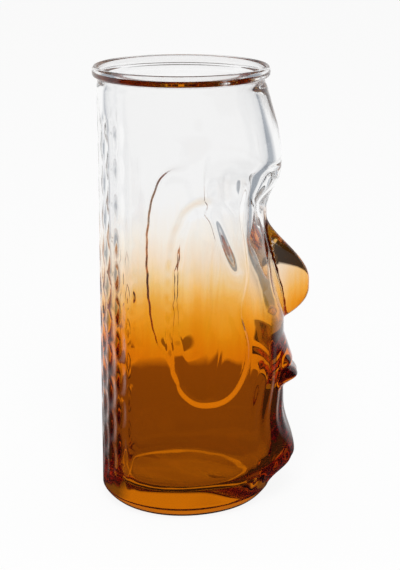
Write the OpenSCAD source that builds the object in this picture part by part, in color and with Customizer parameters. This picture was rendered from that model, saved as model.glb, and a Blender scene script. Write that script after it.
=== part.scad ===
// Drinking glass blown in the form of a carved long-eared head.
// Millimetres, +Z up, the foot stands on z = 0 and the face looks along -Y.

/* [Glass] */
// Overall height
glass_h = 165; // [150:1:185]
// Radius of the back of the head
head_r = 30.7; // [28:0.1:34]
// Height of the plain neck, rim included
neck_h = 13; // [10:0.5:20]
// How far the neck is set in from the back of the head
neck_inset = 0.3; // [0.2:0.1:1]
// Rounding of the foot's edge
foot_round = 7.4; // [4:0.2:9]
// Thickness of the foot under the hollow
foot_t = 9.5; // [7:0.5:14]
// Thickness of the wall at the back of the head
wall = 3.6; // [3:0.1:5]
// Thickness of the wall at the neck
neck_wall = 2.6; // [2:0.1:3]
// How far the head runs on up to the bead
crown_h = 7.2; // [4:0.2:8]
// How far the rim's bead stands out from the neck
bead_out = 2; // [1:0.1:2.6]
// Depth of the bead's widest line below the rim's top
bead_drop = 2.8; // [2.2:0.1:4]
// Height of the bead's rounded underside
bead_under = 1.4; // [0.8:0.1:2]
// How far the lip is set back from the mouth inside
lip_back = 2.6; // [1:0.1:3]
// Depth of the foot of that step below the rim's top
step_drop = 3.4; // [2.6:0.1:4.4]
// Height of the step's slope
step_h = 1.4; // [1:0.1:2]
// How far the hollow is drawn in behind the eyes
pinch = 2.4; // [0:0.1:3.2]

/* [Brow] */
// How far the brow stands out
brow_out = 6.1; // [4:0.1:8]
// Height of the brow's fullest line, in parts of the head's height
brow_at = 0.862; // [0.84:0.002:0.88]
// Height of the brow's lower edge, in parts of the head's height
brow_edge = 0.794; // [0.77:0.002:0.81]
// Angle from the nose at which the brow ends
brow_reach = 90; // [80:1:110]
// Depth of the eye hollows
eye_depth = 2.4; // [0.5:0.1:3]
// Angle from the nose to the middle of an eye hollow
eye_turn = 25; // [22:1:30]

/* [Nose] */
// How far the tip stands out from the round of the head
nose_out = 17.6; // [12:0.2:20]
// How far the bridge between the eyes stands out
bridge_out = 1.3; // [0.5:0.1:2.5]
// Height of the root, in parts of the head's height
nose_root = 0.714; // [0.69:0.002:0.73]
// Height of the tip, in parts of the head's height
nose_tip = 0.536; // [0.5:0.002:0.56]
// Height of the underside, in parts of the head's height
nose_under = 0.44; // [0.43:0.002:0.46]
// Half the angle that the bridge takes
bridge_turn = 9; // [6:0.5:12]
// Half the angle that the nostrils take
nostril_turn = 20; // [14:0.5:22]

/* [Jaw] */
// How far the lower face stands out
jaw_out = 7.8; // [6:0.1:10]
// Angle from the nose at which the jaw ends
jaw_reach = 88; // [75:1:100]
// How far the lips stand out from the lower face
lip_out = 5.4; // [3:0.1:7]
// Height of the lower lip's edge, in parts of the head's height
lip_at = 0.322; // [0.3:0.002:0.34]
// Half the angle that the lips take
lip_turn = 31; // [24:1:36]
// Depth of the line between the lips
lip_gap = 1.2; // [0.5:0.1:1.8]
// How far the chin stands out from the lower face
chin_out = 4.6; // [2:0.1:6]
// Height of the chin, in parts of the head's height
chin_at = 0.116; // [0.1:0.002:0.13]

/* [Ears] */
// Angle from the nose to the middle of an ear
ear_turn = 80.5; // [76:0.5:86]
// Width of an ear, measured round the head
ear_w = 31; // [24:0.5:34]
// Height of the lobe's end, in parts of the head's height
ear_low = 0.298; // [0.28:0.002:0.35]
// Height of the ear's top, in parts of the head's height
ear_high = 0.795; // [0.76:0.005:0.81]
// Thickness of the ear's rounded edge
ear_edge = 2.6; // [2:0.1:3.4]
// How much the ear's front is drawn in at its middle
ear_waist = 4.6; // [0:0.1:6]

/* [Hair] */
// Depth of the hair's hollows at the back of the head
curl_depth = 0.75; // [0.3:0.05:1]
// Length of a hollow
curl_h = 13; // [10:0.5:18]

/* [Hidden] */
head_h = glass_h - neck_h;
crown_z = head_h + crown_h;
neck_r = head_r - neck_inset;
mouth_r = neck_r - neck_wall;
bead_z = glass_h - bead_drop;
bead_side = 0.6;
lip_r = mouth_r + lip_back;
lip_round = 1;
lip_flat = 0.3;
step_z = glass_h - step_drop;
hollow_r = head_r - wall;
hollow_round = 6;
bore_z = crown_z - 3;
sink = 6;
over = 1;
per_deg = head_r * PI / 180;

brow_z = brow_at * head_h;
edge_z = brow_edge * head_h;
root_z = nose_root * head_h;
eye_z = (root_z + edge_z) / 2;
tip_z = nose_tip * head_h;
under_z = nose_under * head_h;
lip_z = lip_at * head_h;
chin_z = chin_at * head_h;
ear_z = (ear_high + ear_low) / 2 * head_h;
ear_half = (ear_high - ear_low) / 2 * head_h - ear_edge / 2;

curl_turn = 11.25;
curl_start = 135;

function mix(p, q, t) = p + (q - p) * t;

function share(from, to, x) = max(0, min(1, (x - from) / (to - from)));

function ease(from, to, x) = let (t = share(from, to, x)) t * t * (3 - 2 * t);

function bump(x) = exp(-x * x);

function steps(from, to, n) = [for (k = [0:n - 1]) mix(from, to, k / n)];

// How far a rounding of radius q draws a wall in, h above its start
function drawn_in(q, h) = h < q ? q - sqrt(q * q - pow(q - max(0, h), 2)) : 0;

// Each feature's height above the round of the head, a degrees from the nose
// and z above the foot
function brow(a, z) =
    let (side = ease(5, 40, a),
         rise = pow(sin(90 * share(crown_z + 1, brow_z, z)), 1.2),
         fall = ease(edge_z - mix(9.7, 6, side), edge_z + mix(5.8, 7, side), z))
    brow_out * (1 - ease(15, brow_reach, a)) * min(rise, fall);

function eye(a, z) = eye_depth * bump((a - eye_turn) / 12) * bump((z - eye_z) / 8);

function nose(a, z) =
    let (half = mix(bridge_turn, nostril_turn, ease(root_z, tip_z + 3, z)),
         down = pow(sin(90 * share(root_z, tip_z + 2, z)), 1.65),
         back = pow(cos(90 * share(tip_z - 1, under_z, z)), 0.6),
         bridge = bridge_out * ease(edge_z + 4, root_z + 3, z))
    (bridge + (nose_out - bridge_out) * down) * back * (1 - ease(0.25 * half, half, a));

function lips(a, z) =
    let (below = ease(lip_z - 5, lip_z, z),
         above = 1 - share(lip_z, under_z - 2, z))
    (lip_out * min(below, above) - lip_gap * bump((z - lip_z - 3.4) / 1.3))
        * (1 - ease(0.55 * lip_turn, lip_turn, a));

function chin(a, z) =
    chin_out * ease(5, chin_z, z) * (1 - ease(chin_z, chin_z + 20, z)) * (1 - ease(8, 46, a));

function jaw(a, z) =
    jaw_out * (1 - ease(12, jaw_reach, a)) * mix(0.3, 1, ease(3, 16, z))
        * (1 - ease(under_z + 5, root_z, z));

function curls(a, z) =
    let (n = round((a - 180) / curl_turn),
         across = 2 * (a - 180 - n * curl_turn) / curl_turn,
         along = abs(sin(180 * z / curl_h + 90 * n)),
         depth = curl_depth * mix(1, 0.5, ease(0.49 * head_h, 0.72 * head_h, z)))
    depth * pow(cos(90 * across), 1.5) * pow(along, 0.8) * ease(curl_start - 6, curl_start + 6, a)
        * ease(8, 16, z) * ease(head_h - 2, head_h - 8, z);

function skin(a, z) =
    let (low = jaw(a, z) + lips(a, z) + chin(a, z))
    head_r + brow(a, z) + max(nose(a, z), low) - eye(a, z) - curls(a, z) - drawn_in(foot_round, z);

// The hollow follows the head's main forms and leaves out the fine ones
function form(a, z) = brow(abs(a), z) + jaw(abs(a), z) + 0.5 * chin(abs(a), z);

function hollow(a, z) =
    let (near = min([for (da = [-8, 0, 8], dz = [-4, 0, 4]) form(a + da, z + dz)]),
         behind_nose = 3.5 * bump(a / 14) * bump((z - tip_z) / 12),
         behind_eyes = pinch * bump((z - eye_z) / 9) * (1 - ease(15, 45, a)),
         round_wall = mix(hollow_r, mouth_r, ease(head_h - 20, crown_z + 10, z)))
    round_wall + 0.9 * near + behind_nose - behind_eyes - drawn_in(hollow_round, z - foot_t);

function place(r, a, z) = [-r * sin(a), -r * cos(a), z];

// Angle from the nose, the same on both sides
function off_nose(a) = min(a, 360 - a);

// One cell between two rows, cut along its shorter diagonal
function cell(pts, p, q, r, s) =
    norm(pts[p] - pts[r]) < norm(pts[q] - pts[s]) ? [[p, q, r], [p, r, s]] : [[p, q, s], [q, r, s]];

// Cells between rows of n points; the last row joins the first when closed
function cells(pts, n, closed = false) =
    let (rows = len(pts) / n)
    [
        for (j = [0:rows - (closed ? 1 : 2)], i = [0:n - 1])
            let (low = j * n, high = (j + 1) % rows * n, next = (i + 1) % n)
            each cell(pts, low + i, low + next, high + next, high + i)
    ];

module stacked(rings) {
    n = len(rings[0]);
    rows = len(rings);
    pts = [for (ring = rings) each ring];
    low = [for (i = [n - 1:-1:0]) i];
    high = [for (i = [0:n - 1]) (rows - 1) * n + i];
    polyhedron(pts, concat([low], cells(pts, n), [high]));
}

// Rows and columns lie closer together where the face and the hair are fine
module head() {
    rows = [
        for (k = [0:4]) foot_round * (1 - cos(18 * k)),
        each steps(foot_round, lip_z - 11, 8),
        each steps(lip_z - 11, lip_z + 6, 10),
        each steps(lip_z + 6, under_z, 4),
        each steps(under_z, tip_z + 2, 7),
        each steps(tip_z + 2, root_z, 8),
        each steps(root_z, edge_z + 6, 8),
        each steps(edge_z + 6, crown_z, 7),
        crown_z
    ];
    turns = [
        each steps(0, 50, 12),
        each steps(50, 112.5, 8),
        each steps(112.5, 247.5, 24),
        each steps(247.5, 310, 8),
        each steps(310, 360, 12)
    ];
    stacked([for (z = rows) [for (a = turns) place(skin(off_nose(a), z), a, z)]]);
}

module hollow_of_head() {
    rows = [
        for (k = [0:3]) foot_t + hollow_round * (1 - cos(22.5 * k)),
        each steps(foot_t + hollow_round, bore_z, 20),
        bore_z,
        bore_z + over
    ];
    stacked([for (z = rows) [for (a = steps(0, 360, 44)) place(hollow(off_nose(a), z), a, z)]]);
}

// A point of the ear's middle line, t round it, as its angle and its height
function ear_spot(t) =
    let (z = ear_z + ear_half * sign(sin(t)) * pow(abs(sin(t)), 0.8),
         half = (ear_w - ear_edge) / 2,
         waist = cos(t) > 0 ? ear_waist * bump((z - ear_z + 4) / 11) : 0,
         off = half * sign(cos(t)) * pow(abs(cos(t)), cos(t) > 0 ? 0.8 : 0.65) - waist)
    [ear_turn - off / per_deg, z];

// The ear's edge, a ring of small hexagons sunk by half into the head
module ear() {
    count = 36;
    spots = [for (k = [0:count - 1]) ear_spot(360 * k / count)];
    mids = [for (s = spots) place(skin(s[0], s[1]), s[0], s[1])];
    pts = [
        for (k = [0:count - 1])
            let (ahead = mids[(k + 1) % count] - mids[(k + count - 1) % count],
                 out = place(1, spots[k][0], 0),
                 side = cross(ahead, out) / norm(cross(ahead, out)))
            for (w = [30:60:330]) mids[k] + ear_edge / 2 * (side * cos(w) + out * sin(w))
    ];
    polyhedron(pts, cells(pts, 6, closed = true));
}

// A plain neck with a bead, round below and flat at the side
module neck() {
    crest_r = lip_r + lip_round;
    side_z = bead_z + bead_side;
    below = [
        for (w = [-90:30:0])
            [neck_r + bead_out * cos(w), bead_z + bead_under * sin(w)]
    ];
    above = [
        for (w = [0:22.5:90])
            [mix(crest_r, neck_r + bead_out, cos(w)), mix(side_z, glass_h, sin(w))]
    ];
    rotate_extrude($fn = 48)
        polygon(concat([[0, crown_z - sink], [neck_r, crown_z - sink]], below, above, [[0, glass_h]]));
}

// The mouth widens to the lip over a sloping step
module mouth() {
    cut = lip_round - lip_flat;
    edge = [
        for (w = [0:30:90])
            [lip_r + cut * (1 - cos(w)), glass_h + cut * (sin(w) - 1)]
    ];
    top = [[lip_r + cut, glass_h + over], [0, glass_h + over]];
    rotate_extrude($fn = 48)
        polygon(concat([[0, bore_z], [mouth_r, bore_z], [mouth_r, step_z], [lip_r, step_z + step_h]], edge, top));
}

module glass() {
    color([0.93, 0.72, 0.35, 0.6])
        difference() {
            union() {
                head();
                neck();
                ear();
                mirror([1, 0, 0])
                    ear();
            }
            hollow_of_head();
            mouth();
        }
}

glass();
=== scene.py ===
"""A blown drinking glass in the form of a carved long-eared head, on a pale floor."""
import math

import bpy
import numpy as np
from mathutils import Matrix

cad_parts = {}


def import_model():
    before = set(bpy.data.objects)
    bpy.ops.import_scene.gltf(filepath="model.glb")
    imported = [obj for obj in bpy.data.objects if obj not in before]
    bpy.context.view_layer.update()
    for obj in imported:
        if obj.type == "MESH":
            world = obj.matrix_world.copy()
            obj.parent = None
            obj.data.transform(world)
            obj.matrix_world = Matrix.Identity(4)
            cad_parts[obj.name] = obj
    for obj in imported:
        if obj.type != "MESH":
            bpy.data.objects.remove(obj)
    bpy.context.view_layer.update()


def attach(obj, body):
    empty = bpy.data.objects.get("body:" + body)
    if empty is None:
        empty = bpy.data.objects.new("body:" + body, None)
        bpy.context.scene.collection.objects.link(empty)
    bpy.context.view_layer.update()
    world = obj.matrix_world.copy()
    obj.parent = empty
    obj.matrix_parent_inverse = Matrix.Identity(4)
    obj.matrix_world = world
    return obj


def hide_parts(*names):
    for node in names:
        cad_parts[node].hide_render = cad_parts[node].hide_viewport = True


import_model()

# The glass, in mm and degrees. Angles are counted from the nose, heights from the foot.
MM = 0.001
GLASS_H = 165.0
HEAD_R = 30.7
NECK_H = 13.0
HEAD_H = GLASS_H - NECK_H
CROWN_Z = HEAD_H + 7.2
CROWN_STEP = (CROWN_Z - 1.8, CROWN_Z + 0.8)
NECK_R = HEAD_R - 0.3
MOUTH_R = NECK_R - 2.6

# The rim: a bead outside with an upright side, a rounded lip and a sloping step to the mouth
BEAD_OUT, BEAD_Z, BEAD_UNDER, BEAD_SIDE = 1.98, GLASS_H - 2.8, 1.4, 0.6
LIP_R, LIP_ROUND = MOUTH_R + 2.6, 1.0
STEP_Z, STEP_H = GLASS_H - 3.4, 1.4

# The foot, and the hollow over it
FOOT_ROUND, FOOT_POWER, FOOT_T = 5.0, 1.3, 9.5
HOLLOW_R, HOLLOW_ROUND = HEAD_R - 3.6, 6.0
NECK_RUN = (HEAD_H - 20, HEAD_H + 3)
PINCH, PINCH_H, PINCH_TURN = 2.4, 9.0, (15.0, 45.0)
NOSE_ROOM, NOSE_ROOM_TURN, NOSE_ROOM_H = 3.5, 14.0, 12.0
FORM_FOLLOWED, FORM_AROUND = 0.9, (8.0, 4.0)

# Heights of the features
BROW_Z = 0.862 * HEAD_H
EDGE_Z = 0.794 * HEAD_H
ROOT_Z = 0.714 * HEAD_H
EYE_Z = (ROOT_Z + EDGE_Z) / 2
TIP_Z = 0.536 * HEAD_H
UNDER_Z = 0.44 * HEAD_H
LIP_Z = 0.322 * HEAD_H
CHIN_Z = 0.116 * HEAD_H

# The face. The brow's lower edge runs from so far under to so far over EDGE_Z, each given
# at the nose and at the side.
BROW_OUT, BROW_TURN, BROW_SWELL = 6.1, (15.0, 90.0), 1.2
BROW_UNDER, BROW_OVER, BROW_SIDE = (9.7, 6.0), (5.8, 7.0), (5.0, 40.0)
EYE_DEPTH, EYE_TURN, EYE_W, EYE_H = 2.4, 25.0, 12.0, 8.0
NOSE_OUT, NOSE_SWELL, NOSE_BLUNT, NOSE_CREST = 17.6, 1.65, 0.6, 0.25
BRIDGE_OUT, BRIDGE_TURN, NOSTRIL_TURN = 1.3, 9.0, 20.0
LIP_OUT, LIP_TURN, LIP_FLAT = 5.4, 31.0, 0.55
GAP_DEPTH, GAP_UP, GAP_H = 1.2, 3.4, 1.3
CHIN_OUT, CHIN_TURN, CHIN_FOOT, CHIN_RISE = 4.6, (8.0, 46.0), 5.0, 20.0
JAW_OUT, JAW_TURN, JAW_FOOT, JAW_FOOT_Z = 7.8, (12.0, 88.0), 0.3, (3.0, 16.0)

# Flow marks on the cheeks: their height, how many would go round, and where they end
RIPPLE, RIPPLES = 0.24, 36
RIPPLE_TURN, RIPPLE_Z = (60.0, 45.0), (6.0, 14.0, 46.0, 56.0)

# The ears: the middle line of their edge, from an oval (power 1) towards a box (power 0) at
# its ends, front and back, and drawn in at its waist; how high the edge stands; how far it
# slopes outside and inside, at the front and at the back; and the waver in its back
EAR_TURN, EAR_W, EAR_EDGE = 80.5, 31.0, 2.6
EAR_TOP, EAR_LOBE = 0.795, 0.298
EAR_Z = (EAR_TOP + EAR_LOBE) / 2 * HEAD_H
EAR_HALF = (EAR_TOP - EAR_LOBE) / 2 * HEAD_H - EAR_EDGE / 2
EAR_POWER_ENDS, EAR_POWER_FRONT, EAR_POWER_BACK = 0.8, 0.8, 0.65
WAIST_IN, WAIST_DOWN, WAIST_H = 4.6, 4.0, 11.0
EAR_RISE, EAR_SPAN = 1.25, 45.0
EAR_OUTSIDE, EAR_OUTSIDE_TURN = (3.2, 2.1), (EAR_TURN, EAR_TURN + 20)
EAR_INSIDE, EAR_INSIDE_TURN = (14.0, 4.4), (60.0, 90.0)
WAVER, WAVER_H = 0.24, 1.3

# The wedge that runs down from the temple into the ear: angles of its back edge at the top
# and at the tip, its heights there, how that edge bends, how far the wedge stands out, how
# wide its steep edge is, where its front slope lies, how much of it is lost per mm of the
# ear's edge, the heights between which it begins, and the share of its way at which it ends
WEDGE_TURN, WEDGE_Z, WEDGE_BEND = (84.0, 64.0), (122.0, 92.0), 1.3
WEDGE_OUT, WEDGE_EDGE, WEDGE_FRONT, WEDGE_SUNK = 2.1, 5.0, (52.0, 62.0), 0.58
WEDGE_START, WEDGE_END = (134.0, 119.0), (1.0, 0.9)

# The rows of curls down the back, which end behind the ears, over the foot and under the
# crown, and are fainter higher up
CURL_DEPTH, CURL_H, CURL_TURN = 0.75, 13.0, 11.25
CURL_START, CURL_FOOT, CURL_TOP = (129.0, 141.0), (8.0, 16.0), (HEAD_H - 2, HEAD_H - 8)
CURL_FAINT, CURL_FAINT_Z = 0.5, (75.0, 110.0)

# The unevenness of the outside, of the hollow's wall and of its floor, and where each begins
WAVE_OUT, WAVE_OUT_Z = 0.03, (10.0, 30.0)
WAVE_IN, WAVE_IN_Z = 0.1, (GLASS_H - 5, GLASS_H - 20)
WAVE_FLOOR, WAVE_FLOOR_Z = 0.35, (FOOT_T + 14, FOOT_T)

# Where the mesh has its columns, as first angle, last angle and number, and its rows
COLUMNS = ((0, 50, 50), (50, 112, 54), (112, 180, 40))
ROW_H, INSIDE_ROW_H, LOOP_POINTS, EAR_PARTS = 0.8, 2.0, 360, 40
FOOT_RINGS, FLOOR_RINGS = (0.25, 0.6, 0.85, 0.97), (0.92, 0.8, 0.66, 0.5, 0.33, 0.15)
COAT_SLOT, CLEAR_SLOT, FOOT_SLOT = 0, 1, 2

GLASS_IOR = 1.5
WHITE = (1, 1, 1, 1)

# The coat's colour at a few heights, from full strength to clear glass, how ragged its
# streaks make it, what it leaves of light that is mirrored inside, and how much higher it
# reaches per mm that the nose stands out past NOSE_FROM
COAT = (
    (15, (0.62, 0.155, 0.0003)),
    (54, (0.77, 0.19, 0.0003)),
    (63, (0.86, 0.21, 0.001)),
    (68, (0.93, 0.29, 0.0065)),
    (73, (0.98, 0.43, 0.05)),
    (78, (1.0, 0.58, 0.20)),
    (86, (1.0, 0.74, 0.50)),
    (95, (1.0, 0.91, 0.77)),
    (108, (1.0, 1.0, 1.0)),
)
COAT_RAGGED, COAT_STREAKS = 20 * MM, (150, 150, 9)
COAT_TWICE = (0.8, 0.44, 0.13)
NOSE_COAT, NOSE_FROM = 0.9, 36 * MM

# What glass shows of the studio, in metres: a white backdrop between two flags, a dark disc
# of painted shade on the floor round the foot, with painted light on it for rays that crossed
# more than CROSSED_HOLLOW surfaces, a painted glowing ring of light under the foot's edge, and a
# dark ceiling. What it mirrors is white on the far side only.
BACKDROP, BACKDROP_TO = (0.93, 0.93, 0.93), (0.985, -0.174, 0.0)
FLAG, FLAG_FROM, FLAG_TO = (0.32, 0.35, 0.39), (0.15, 0.3), (0.68, 0.8)
# Painted shade: the dark disc's colour, middle, radius, soft edge and raggedness, then the painted light
# on it, where it begins and how many crossings it needs
PAINTED_SHADE, SHADE_DISC_AT = (0.05, 0.042, 0.04), (-0.06, -0.01, 0.0)
SHADE_DISC_R, SHADE_DISC_SOFT, SHADE_DISC_RAGGED = 0.224, 0.009, 0.012
PAINTED_LIGHT, PAINTED_LIGHT_FROM, CROSSED_HOLLOW = (0.32, 0.27, 0.25), -0.1, 3.5
# Painted light: the glowing ring's strength, radius, width and raggedness
RING_PAINTED_LIGHT, RING_R, RING_W, RING_RAGGED = 0.8, 0.027, 0.002, 0.01
CEILING, CEILING_UP = (0.065, 0.045, 0.04), (0.4, 0.55)
MIRRORED_FLOOR, MIRRORED_SKY, DARK_SIDE = (0.02, 0.1), (0.05, 0.25), 0.04
MIRRORED_WHITE = (0.8, 0.8, 0.8, 1)
FLOOR_SIZE, FLOOR_GAP, FLOOR_PALE, FLOOR_GLOW = 8, 0.0002, 0.9, 0.9
AMBIENT = 0.5


def share(start, end, x):
    """x's place between start and end, from 0 to 1."""
    return np.clip((x - start) / (end - start), 0.0, 1.0)


def ease(start, end, x):
    """x's place between start and end, with a soft start and a soft end."""
    t = share(start, end, x)
    return t * t * (3 - 2 * t)


def quarter(start, end, x):
    """A quarter of a sine wave between start and end."""
    return np.sin(np.pi / 2 * share(start, end, x))


def fade(width, x):
    """From 1 at nothing to 0 at the width, like half a wave."""
    return 0.5 + 0.5 * np.cos(np.pi * share(0, width, x))


def bump(x):
    """A bell, 1 high at 0."""
    return np.exp(-x * x)


def mix(p, q, t):
    """p where t is 0, q where it is 1."""
    return p + (q - p) * t


def drawn_in(q, h):
    """How far a rounding of radius q draws a wall in, h above its start."""
    inside = np.clip(q * q - (q - np.clip(h, 0, q)) ** 2, 0, None)
    return np.where(h < q, q - np.sqrt(inside), 0.0)


def foot_in(z):
    """How far the foot's edge is drawn in, between a chamfer and a rounding."""
    up = np.clip(1 - z / FOOT_ROUND, 0, 1)
    return FOOT_ROUND * (1 - (1 - up ** FOOT_POWER) ** (1 / FOOT_POWER))


def brow(a, z):
    """The brow, fullest at its own height, with a steep lower edge."""
    side = ease(*BROW_SIDE, a)
    rise = quarter(CROWN_Z + 1, BROW_Z, z) ** BROW_SWELL
    fall = ease(EDGE_Z - mix(*BROW_UNDER, side), EDGE_Z + mix(*BROW_OVER, side), z)
    return BROW_OUT * (1 - ease(*BROW_TURN, a)) * np.minimum(rise, fall)


def eye(a, z):
    """How deep the eye hollow is."""
    return EYE_DEPTH * bump((a - EYE_TURN) / EYE_W) * bump((z - EYE_Z) / EYE_H)


def nose(a, z):
    """The nose, from a narrow bridge to wide nostrils."""
    half = mix(BRIDGE_TURN, NOSTRIL_TURN, ease(ROOT_Z, TIP_Z + 3, z))
    down = quarter(ROOT_Z, TIP_Z + 2, z) ** NOSE_SWELL
    under = np.clip(np.cos(np.pi / 2 * share(TIP_Z - 1, UNDER_Z, z)), 0, 1) ** NOSE_BLUNT
    bridge = BRIDGE_OUT * ease(EDGE_Z + 4, ROOT_Z + 3, z)
    return (bridge + (NOSE_OUT - BRIDGE_OUT) * down) * under * (1 - ease(NOSE_CREST * half, half, a))


def lips(a, z):
    """The lips as one slab, with the mouth's gap across it."""
    below = ease(LIP_Z - 5, LIP_Z, z)
    above = 1 - share(LIP_Z, UNDER_Z - 2, z)
    gap = GAP_DEPTH * bump((z - LIP_Z - GAP_UP) / GAP_H)
    return (LIP_OUT * np.minimum(below, above) - gap) * (1 - ease(LIP_FLAT * LIP_TURN, LIP_TURN, a))


def chin(a, z):
    """The chin, from just over the foot to under the lips."""
    up = ease(CHIN_FOOT, CHIN_Z, z) * (1 - ease(CHIN_Z, CHIN_Z + CHIN_RISE, z))
    return CHIN_OUT * up * (1 - ease(*CHIN_TURN, a))


def jaw(a, z):
    """The lower face that the nose, lips and chin stand on."""
    foot = mix(JAW_FOOT, 1, ease(*JAW_FOOT_Z, z))
    return JAW_OUT * (1 - ease(*JAW_TURN, a)) * foot * (1 - ease(UNDER_Z + 5, ROOT_Z, z))


def curls(a, z):
    """How deep the rows of curls are cut, every other row half a curl higher."""
    n = np.round((a - 180) / CURL_TURN)
    across = 2 * (a - 180 - n * CURL_TURN) / CURL_TURN
    along = np.abs(np.sin(np.pi * (z / CURL_H + n / 2)))
    band = ease(*CURL_START, a) * ease(*CURL_FOOT, z) * ease(*CURL_TOP, z)
    depth = CURL_DEPTH * mix(1, CURL_FAINT, ease(*CURL_FAINT_Z, z))
    return depth * np.cos(np.pi / 2 * across) ** 1.5 * along ** 0.8 * band


def ripples(a, z):
    """Flow marks down the cheeks under the lips."""
    along = np.sin(np.radians(RIPPLES * a) + 2 * np.sin(z / 7)) * np.sin(z / 11 + 1)
    foot, low, high, top = RIPPLE_Z
    return RIPPLE * along * ease(*RIPPLE_TURN, a) * ease(top, high, z) * ease(foot, low, z)


def ear_loop():
    """The middle line of an ear's edge, as distance round the head and height."""
    t = np.linspace(0, 2 * np.pi, LOOP_POINTS, endpoint=False)
    c, s = np.cos(t), np.sin(t)
    z = EAR_Z + EAR_HALF * np.sign(s) * np.abs(s) ** EAR_POWER_ENDS
    waist = np.where(c > 0, WAIST_IN * bump((z - EAR_Z + WAIST_DOWN) / WAIST_H), 0)
    power = np.where(c > 0, EAR_POWER_FRONT, EAR_POWER_BACK)
    off = (EAR_W - EAR_EDGE) / 2 * np.sign(c) * np.abs(c) ** power - waist
    waver = WAVER * ease(0, -0.5, c) * np.sin(z / WAVER_H) * np.sin(z / WAVER_H / 3.7)
    return -np.radians(EAR_TURN - np.degrees((off + waver) / HEAD_R)) * HEAD_R, z


def edge_height(a, near, outside):
    """How high an ear's edge stands, near so far from its middle line, as a share."""
    reach = mix(*EAR_OUTSIDE, ease(*EAR_OUTSIDE_TURN, a))
    slope = mix(*EAR_INSIDE, ease(*EAR_INSIDE_TURN, a))
    return np.where(outside, fade(reach, near), fade(slope, near))


def ear(a, z):
    """The ear's rounded edge as a height above the skin: steep outside, soft inside."""
    along, up = ear_loop()
    lead_x, lead_z = np.roll(along, -1) - np.roll(along, 1), np.roll(up, -1) - np.roll(up, 1)
    flat_a, flat_z = a.ravel(), z.ravel()
    height = np.zeros(flat_a.shape)
    spot = np.nonzero(np.abs(flat_a - EAR_TURN) < EAR_SPAN)[0]
    for part in np.array_split(spot, EAR_PARTS):
        dx = -np.radians(flat_a[part, None]) * HEAD_R - along[None]
        dz = flat_z[part, None] - up[None]
        gap = np.sqrt(dx * dx + dz * dz)
        best = gap.argmin(1)
        row = np.arange(len(part))
        side = lead_x[best] * dz[row, best] - lead_z[best] * dx[row, best]
        height[part] = edge_height(flat_a[part], gap[row, best], side < 0)
    return EAR_RISE * height.reshape(a.shape)


def wedge(a, z):
    """The raised wedge in front of the ear's hollow, steep at its back edge."""
    down = share(*WEDGE_Z, z)
    back = mix(*WEDGE_TURN, down ** WEDGE_BEND)
    inward = np.radians(back - a) * HEAD_R
    front = ease(WEDGE_FRONT[0], mix(WEDGE_FRONT[1], WEDGE_TURN[1], down), a)
    ends = ease(*WEDGE_START, z) * ease(*WEDGE_END, down)
    return WEDGE_OUT * ease(0, WEDGE_EDGE, inward) * front * ends


def skin(a, z):
    """The outside's radius without ears."""
    low = jaw(a, z) + lips(a, z) + chin(a, z)
    face = brow(a, z) + np.maximum(nose(a, z), low) - eye(a, z)
    return HEAD_R + face + ripples(a, z) - curls(a, z) - foot_in(z)


def form(a, z):
    """The broad forms of the face, which the hollow follows."""
    return brow(np.abs(a), z) + jaw(np.abs(a), z) + 0.5 * chin(np.abs(a), z)


def hollow(a, z):
    """The hollow's radius: it follows the face and runs into the mouth without a step."""
    aside, off = FORM_AROUND
    near = np.min([form(a + da, z + dz) for da in (-aside, 0, aside) for dz in (-off, 0, off)], axis=0)
    behind_nose = NOSE_ROOM * bump(a / NOSE_ROOM_TURN) * bump((z - TIP_Z) / NOSE_ROOM_H)
    pinch = PINCH * bump((z - EYE_Z) / PINCH_H) * (1 - ease(*PINCH_TURN, a))
    wall = mix(HOLLOW_R, MOUTH_R, ease(*NECK_RUN, z))
    return wall + FORM_FOLLOWED * near + behind_nose - pinch - drawn_in(HOLLOW_ROUND, z - FOOT_T)


def sag(x, y):
    """The unevenness of the hollow's floor, between about -2 and 2."""
    return np.sin(x / 7 + 1) + 0.7 * np.sin(y / 5 + x / 11) + 0.4 * np.sin(x / 3 - y / 4 + 2)


def waves(turn, z):
    """The slow unevenness that blowing leaves in a wall, between about -2 and 2."""
    t = np.radians(turn)
    return np.sin(2 * t + z / 23) + 0.6 * np.sin(5 * t - z / 17 + 1.3) + 0.4 * np.sin(9 * t + z / 11 + 2.1)


def columns():
    """Angles all round the glass, closer together on the face and the ears."""
    half = np.concatenate([np.linspace(lo, hi, n, endpoint=False) for lo, hi, n in COLUMNS])
    return np.concatenate([half, [180.0], 360 - half[:0:-1]])


def arc(start, end, count):
    """Angles in radians along an arc."""
    return np.radians(np.linspace(start, end, count))


def foot_rings(a):
    """The flat underside, from its middle outwards."""
    edge = skin(a, 0 * a)
    for f in FOOT_RINGS:
        yield f * edge, 0.0, FOOT_SLOT


def outside_rings(turn, a):
    """The outside, from the foot's edge up to the bead."""
    corner = FOOT_ROUND * (1 - np.cos(arc(0, 90, 11)) ** (2 / FOOT_POWER))
    body = np.arange(corner[-1] + ROW_H, CROWN_Z - 2, ROW_H)
    heights = np.concatenate([corner, body, CROWN_Z + np.linspace(-2 * ROW_H, ROW_H, 7)])
    grid_a, grid_z = np.meshgrid(a, heights)
    uneven = WAVE_OUT * ease(*WAVE_OUT_Z, grid_z) * waves(turn[None], grid_z)
    edge = ear(grid_a, grid_z)
    outside = skin(grid_a, grid_z) + edge + wedge(grid_a, grid_z) * (1 - WEDGE_SUNK * edge) + uneven
    outside = mix(outside, NECK_R, ease(*CROWN_STEP, grid_z))
    for radius, z in zip(outside, heights):
        yield radius, z, COAT_SLOT


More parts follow.
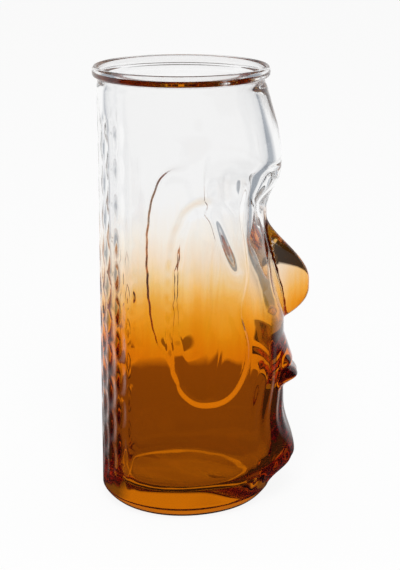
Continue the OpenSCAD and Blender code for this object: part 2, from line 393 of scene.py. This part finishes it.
def rim_rings():
    """Round the bead, over the lip and down the step into the mouth."""
    for w in arc(-90, 0, 11):
        yield NECK_R + BEAD_OUT * np.cos(w), BEAD_Z + BEAD_UNDER * np.sin(w), CLEAR_SLOT
    crest = LIP_R + LIP_ROUND
    for w in arc(0, 90, 13):
        radius = crest + (NECK_R + BEAD_OUT - crest) * np.cos(w)
        yield radius, GLASS_H + (GLASS_H - BEAD_Z - BEAD_SIDE) * (np.sin(w) - 1), CLEAR_SLOT
    for w in arc(90, 0, 9)[1:]:
        yield LIP_R + LIP_ROUND * (1 - np.cos(w)), GLASS_H + LIP_ROUND * (np.sin(w) - 1), CLEAR_SLOT
    for t in np.linspace(1, 0, 11):
        yield mix(MOUTH_R, LIP_R, (t + ease(0, 1, t)) / 2), STEP_Z + STEP_H * t, CLEAR_SLOT


def inside_rings(turn, a):
    """The hollow, from under the step down its wall and in over its floor."""
    east, north = np.sin(np.radians(turn)), np.cos(np.radians(turn))
    floor_z = FOOT_T + HOLLOW_ROUND * (1 - np.cos(arc(90, 0, 11)))
    wall_z = np.arange(STEP_Z - INSIDE_ROW_H, floor_z[0] + INSIDE_ROW_H, -INSIDE_ROW_H)
    for z in np.concatenate([wall_z, floor_z]):
        uneven = WAVE_IN * waves(turn, z) * ease(*WAVE_IN_Z, z)
        wall = hollow(a, np.full_like(a, z)) + uneven
        sunk = WAVE_FLOOR * sag(wall * east, wall * north) * ease(*WAVE_FLOOR_Z, z)
        yield wall, z + sunk, CLEAR_SLOT
    floor_edge = hollow(a, np.full_like(a, FOOT_T))
    for f in FLOOR_RINGS:
        radius = f * floor_edge
        yield radius, FOOT_T + WAVE_FLOOR * sag(radius * east, radius * north), CLEAR_SLOT


def glass_rings():
    """Every ring's points, from the foot's middle to the middle of the hollow's floor."""
    turn = columns()
    a = np.minimum(turn, 360 - turn)
    points, slots = [], []
    for rings in (foot_rings(a), outside_rings(turn, a), rim_rings(), inside_rings(turn, a)):
        for radius, z, slot in rings:
            x, y = -radius * np.sin(np.radians(turn)), -radius * np.cos(np.radians(turn))
            points.append(np.stack([x, y, np.broadcast_to(z, turn.shape)], 1))
            slots.append(slot)
    return points, slots


def build_glass():
    """One closed mesh: a quad between each two rings, and a fan to each middle."""
    rings, ring_slots = glass_rings()
    n, m = len(rings[0]), len(rings)
    middles = [[0, 0, 0], [0, 0, FOOT_T + WAVE_FLOOR * sag(0, 0)]]
    verts = np.concatenate([*rings, middles]) * MM
    faces, slots = [], []
    for j in range(m - 1):
        low, high = j * n, (j + 1) * n
        for i in range(n):
            k = (i + 1) % n
            faces.append((low + i, high + i, high + k, low + k))
            slots.append(ring_slots[j])
    last = (m - 1) * n
    for i in range(n):
        k = (i + 1) % n
        faces += [(i, k, m * n), (last + k, last + i, m * n + 1)]
        slots += [FOOT_SLOT, CLEAR_SLOT]
    mesh = bpy.data.meshes.new("glass_body")
    mesh.from_pydata(verts.tolist(), [], faces)
    mesh.polygons.foreach_set("material_index", slots)
    mesh.polygons.foreach_set("use_smooth", [True] * len(faces))
    mesh.update()
    return bpy.data.objects.new("glass_body", mesh)


def feed(tree, node, inputs):
    """Set each named input of a node to a value, or link it to a socket."""
    for name, value in inputs.items():
        if isinstance(value, bpy.types.NodeSocket):
            tree.links.new(value, node.inputs[name])
        else:
            node.inputs[name].default_value = value
    return node


def add(tree, kind, inputs):
    """A new shader node with its inputs fed."""
    return feed(tree, tree.nodes.new("ShaderNode" + kind), inputs)


def maths(tree, operation, *values):
    """What a Math node makes of numbers and sockets."""
    node = add(tree, "Math", dict(enumerate(values)))
    node.operation = operation
    return node.outputs[0]


def vectors(tree, operation, output, *values):
    """What a Vector Math node makes of vectors, at one of its outputs."""
    node = add(tree, "VectorMath", dict(enumerate(values)))
    node.operation = operation
    return node.outputs[output]


def between(tree, low, high, value, start=0.0):
    """Value's place between low and high, as a number from start to 1."""
    ends = {"From Min": low, "From Max": high, "To Min": start}
    return add(tree, "MapRange", {**ends, "Value": value}).outputs[0]


def blended(tree, share_of_second, first, second):
    """Two shaders mixed."""
    return add(tree, "MixShader", {"Fac": share_of_second, 1: first, 2: second}).outputs[0]


def mixed(tree, share_of_second, first, second):
    """Two colours mixed."""
    node = tree.nodes.new("ShaderNodeMix")
    node.data_type = "RGBA"
    return feed(tree, node, {0: share_of_second, 6: first, 7: second}).outputs[2]


def ramp(tree, value, stops):
    """A colour that runs through stops, each a place and a colour."""
    node = add(tree, "ValToRGB", {"Fac": value})
    elements = node.color_ramp.elements
    for element, (place, colour) in zip(elements, (stops[0], stops[-1])):
        element.position, element.color = place, (*colour, 1)
    for place, colour in stops[1:-1]:
        elements.new(place).color = (*colour, 1)
    return node.outputs["Color"]


def mirror_ray(tree, path):
    """1 for a ray that a surface mirrored, 0 for one that went through."""
    return maths(tree, "MULTIPLY", path["Is Reflection Ray"], path["Is Glossy Ray"])


def new_material(name):
    """A material with an empty node tree."""
    material = bpy.data.materials.new(name)
    material.use_nodes = True
    material.node_tree.nodes.clear()
    return material, material.node_tree


def glass_shader(tree, tint):
    """Clear, smooth glass that tints what it lets through."""
    return add(tree, "BsdfPrincipled", {"Base Color": tint, "Roughness": 0.0, "IOR": GLASS_IOR,
                                        "Transmission Weight": 1.0}).outputs[0]


def plain_glass(name, tint):
    """Glass of one tint all over."""
    material, tree = new_material(name)
    add(tree, "OutputMaterial", {"Surface": glass_shader(tree, tint)})
    return material


def clear_material():
    """The rim and the hollow, which have no coat."""
    return plain_glass("clear_glass", WHITE)


def foot_material():
    """The coated underside, which lies flat on the floor."""
    return plain_glass("amber_foot", (*COAT[0][1], 1))


def coat_height(tree):
    """Height in the coat, ragged by upright streaks, and less on the nose, where it reaches up."""
    place = add(tree, "TexCoord", {}).outputs["Object"]
    split = add(tree, "SeparateXYZ", {0: place}).outputs
    streaks = add(tree, "Mapping", {"Vector": place, "Scale": COAT_STREAKS}).outputs[0]
    noise = add(tree, "TexNoise", {"Vector": streaks, "Scale": 1.0, "Detail": 6.0, "Roughness": 0.7})
    past_face = maths(tree, "MULTIPLY_ADD", split["Y"], -1, -NOSE_FROM)
    ahead = maths(tree, "MAXIMUM", past_face, 0)
    lowered = maths(tree, "MULTIPLY_ADD", ahead, -NOSE_COAT, split["Z"])
    return maths(tree, "MULTIPLY_ADD", noise.outputs["Fac"], COAT_RAGGED, lowered)


def up_coat(tree, first, height):
    """Height's place between one of the coat's heights and its last."""
    low, high = (COAT[i][0] * MM + COAT_RAGGED / 2 for i in (first, -1))
    return between(tree, low, high, height)


def from_inside(tree, tint, height):
    """What light meets from inside: it is let out through the coat or mirrored by it."""
    once = add(tree, "Gamma", {"Color": tint, "Gamma": 0.5}).outputs[0]
    let_out = add(tree, "BsdfRefraction", {"Color": once, "Roughness": 0.0, "IOR": GLASS_IOR}).outputs[0]
    twice = mixed(tree, up_coat(tree, 1, height), (*COAT_TWICE, 1), WHITE)
    kept_in = add(tree, "BsdfAnisotropic", {"Color": twice, "Roughness": 0.0}).outputs[0]
    fresnel = add(tree, "Fresnel", {"IOR": GLASS_IOR}).outputs[0]
    return blended(tree, fresnel, let_out, kept_in)


def coat_material():
    """Clear glass with a translucent amber coat that fades out towards the brow."""
    material, tree = new_material("amber_coat")
    height = coat_height(tree)
    bottom, top = COAT[0][0], COAT[-1][0]
    stops = [((z - bottom) / (top - bottom), colour) for z, colour in COAT]
    tint = ramp(tree, up_coat(tree, 0, height), stops)
    inner_side = add(tree, "NewGeometry", {}).outputs["Backfacing"]
    glass = blended(tree, inner_side, glass_shader(tree, tint), from_inside(tree, tint, height))
    add(tree, "OutputMaterial", {"Surface": glass})
    return material


def backdrop(tree, direction):
    """White behind the glass, with a darker, bluish flag on either side of it."""
    along = vectors(tree, "DOT_PRODUCT", "Value", direction, BACKDROP_TO)
    return ramp(tree, along, ((FLAG_FROM[0], BACKDROP), (FLAG_FROM[1], FLAG),
                              (FLAG_TO[0], FLAG), (FLAG_TO[1], BACKDROP)))


def seen_painted_shade_and_light(tree, place, noise, path):
    """The dark disc's painted shade, painted lighter for rays that crossed the hollow, and the backdrop's
    colour past its edge.
    """
    away = vectors(tree, "DISTANCE", "Value", place, SHADE_DISC_AT)
    ragged = maths(tree, "MULTIPLY_ADD", noise, SHADE_DISC_RAGGED, away)
    edge = SHADE_DISC_R + SHADE_DISC_RAGGED / 2
    past_edge = between(tree, edge - SHADE_DISC_SOFT, edge + SHADE_DISC_SOFT, ragged)
    # Painted light: rays that crossed the hollow see the disc lighter.
    crossed = maths(tree, "GREATER_THAN", path["Transmission Depth"], CROSSED_HOLLOW)
    y = add(tree, "SeparateXYZ", {0: place}).outputs["Y"]
    beside = maths(tree, "GREATER_THAN", y, PAINTED_LIGHT_FROM)
    painted_shade_and_light = mixed(tree, maths(tree, "MULTIPLY", crossed, beside), (*PAINTED_SHADE, 1), (*PAINTED_LIGHT, 1))
    toward = vectors(tree, "NORMALIZE", "Vector", place)
    return mixed(tree, past_edge, painted_shade_and_light, backdrop(tree, toward))


def in_ring(tree, place, noise):
    """1 on the painted glowing ring of light under the foot's edge, 0 off it."""
    out = vectors(tree, "LENGTH", "Value", place)
    ragged = maths(tree, "MULTIPLY_ADD", noise, RING_RAGGED, out)
    past_ring = maths(tree, "SUBTRACT", ragged, RING_R + RING_RAGGED / 2)
    return between(tree, RING_W, RING_W / 2, maths(tree, "ABSOLUTE", past_ring))


def floor_material():
    """Pale to the camera and the lamp; to what looks through the glass, a dark disc of painted shade with
    painted light and a painted glowing ring on it.
    """
    material, tree = new_material("pale_floor")
    path = add(tree, "LightPath", {}).outputs
    place = add(tree, "TexCoord", {}).outputs["Object"]
    noise = add(tree, "TexNoise", {"Vector": place, "Scale": 40.0}).outputs["Fac"]
    x = add(tree, "SeparateXYZ", {0: place}).outputs["X"]

    paint = add(tree, "BsdfDiffuse", {"Color": (FLOOR_PALE, FLOOR_PALE, FLOOR_PALE, 1)}).outputs[0]
    glow = add(tree, "Emission", {"Color": WHITE, "Strength": 1.0}).outputs[0]
    pale = blended(tree, maths(tree, "MULTIPLY", path["Is Camera Ray"], FLOOR_GLOW), paint, glow)

    # Painted shade and painted light on the floor, shown only to rays through the glass.
    painted_shade_and_light = add(tree, "Emission", {"Color": seen_painted_shade_and_light(tree, place, noise, path)}).outputs[0]
    # A painted glint: a white ring that glows under the foot's edge, seen only through the glass.
    painted_ring = add(tree, "Emission", {"Color": WHITE, "Strength": RING_PAINTED_LIGHT}).outputs[0]
    through = blended(tree, in_ring(tree, place, noise), painted_shade_and_light, painted_ring)
    to_glass = blended(tree, path["Is Transmission Ray"], pale, through)

    bright = between(tree, *MIRRORED_FLOOR, x, DARK_SIDE)
    mirrored = add(tree, "Emission", {"Color": WHITE, "Strength": bright}).outputs[0]
    surface = blended(tree, mirror_ray(tree, path), to_glass, mirrored)
    add(tree, "OutputMaterial", {"Surface": surface})
    return material


def floor():
    """The floor, just under the foot."""
    bpy.ops.mesh.primitive_plane_add(size=FLOOR_SIZE, location=(0, 0, -FLOOR_GAP))
    plane = bpy.context.object
    plane.name = "floor"
    plane.data.materials.append(floor_material())


def world():
    """White to the camera, soft light to the floor, and the studio to what glass shows."""
    sky = bpy.data.worlds.new("studio")
    bpy.context.scene.world = sky
    sky.use_nodes = True
    tree = sky.node_tree
    tree.nodes.clear()
    path = add(tree, "LightPath", {}).outputs
    direction = add(tree, "TexCoord", {}).outputs["Generated"]
    split = add(tree, "SeparateXYZ", {0: direction}).outputs
    up = between(tree, *CEILING_UP, split["Z"])
    studio = mixed(tree, up, backdrop(tree, direction), (*CEILING, 1))
    through = add(tree, "Background", {"Color": studio, "Strength": 1.0}).outputs[0]
    bright = between(tree, *MIRRORED_SKY, split["X"], DARK_SIDE)
    mirrored = add(tree, "Background", {"Color": MIRRORED_WHITE, "Strength": bright}).outputs[0]
    ambient = add(tree, "Background", {"Color": WHITE, "Strength": AMBIENT}).outputs[0]
    white = add(tree, "Background", {"Color": WHITE, "Strength": 1.0}).outputs[0]
    to_glass = blended(tree, path["Is Transmission Ray"], ambient, through)
    to_gloss = blended(tree, mirror_ray(tree, path), to_glass, mirrored)
    add(tree, "OutputWorld", {"Surface": blended(tree, path["Is Camera Ray"], to_gloss, white)})


def lamp(name, azimuth, elevation, distance, size, watts):
    light = bpy.data.lights.new(name, "AREA")
    light.shape = "RECTANGLE"
    light.size = light.size_y = size
    light.energy = watts
    ob = bpy.data.objects.new(name, light)
    a, e = math.radians(azimuth), math.radians(elevation)
    reach = distance * math.cos(e)
    ob.location = (reach * math.sin(a), -reach * math.cos(a), GLASS_H / 2 * MM + distance * math.sin(e))
    ob.rotation_euler = (math.radians(90 - elevation), 0, a)
    ob.visible_glossy = ob.visible_transmission = False
    bpy.context.collection.objects.link(ob)


def camera():
    """Ten degrees behind the head's profile, a little above its rim."""
    behind, pitch = math.radians(10), math.radians(15.17)
    away, height, aside = 574 * MM, 238 * MM, 6.84 * MM
    view = bpy.data.cameras.new("camera")
    view.lens = 100
    ob = bpy.data.objects.new("camera", view)
    ob.location = (-math.cos(behind) * away - math.sin(behind) * aside,
                   math.sin(behind) * away - math.cos(behind) * aside, height)
    ob.rotation_euler = (math.pi / 2 - pitch, 0, -math.pi / 2 - behind)
    bpy.context.collection.objects.link(ob)
    bpy.context.scene.camera = ob


camera()
glass = build_glass()
bpy.context.collection.objects.link(glass)
glass.data.materials.append(coat_material())
glass.data.materials.append(clear_material())
glass.data.materials.append(foot_material())
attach(glass, "root")
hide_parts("glass")
floor()
world()
lamp("key", azimuth=260, elevation=50, distance=1.6, size=0.8, watts=18)
bpy.context.scene.view_settings.view_transform = "Standard"
bpy.context.scene.cycles.max_bounces = 32
bpy.context.scene.cycles.glossy_bounces = 24
bpy.context.scene.cycles.transmission_bounces = 24
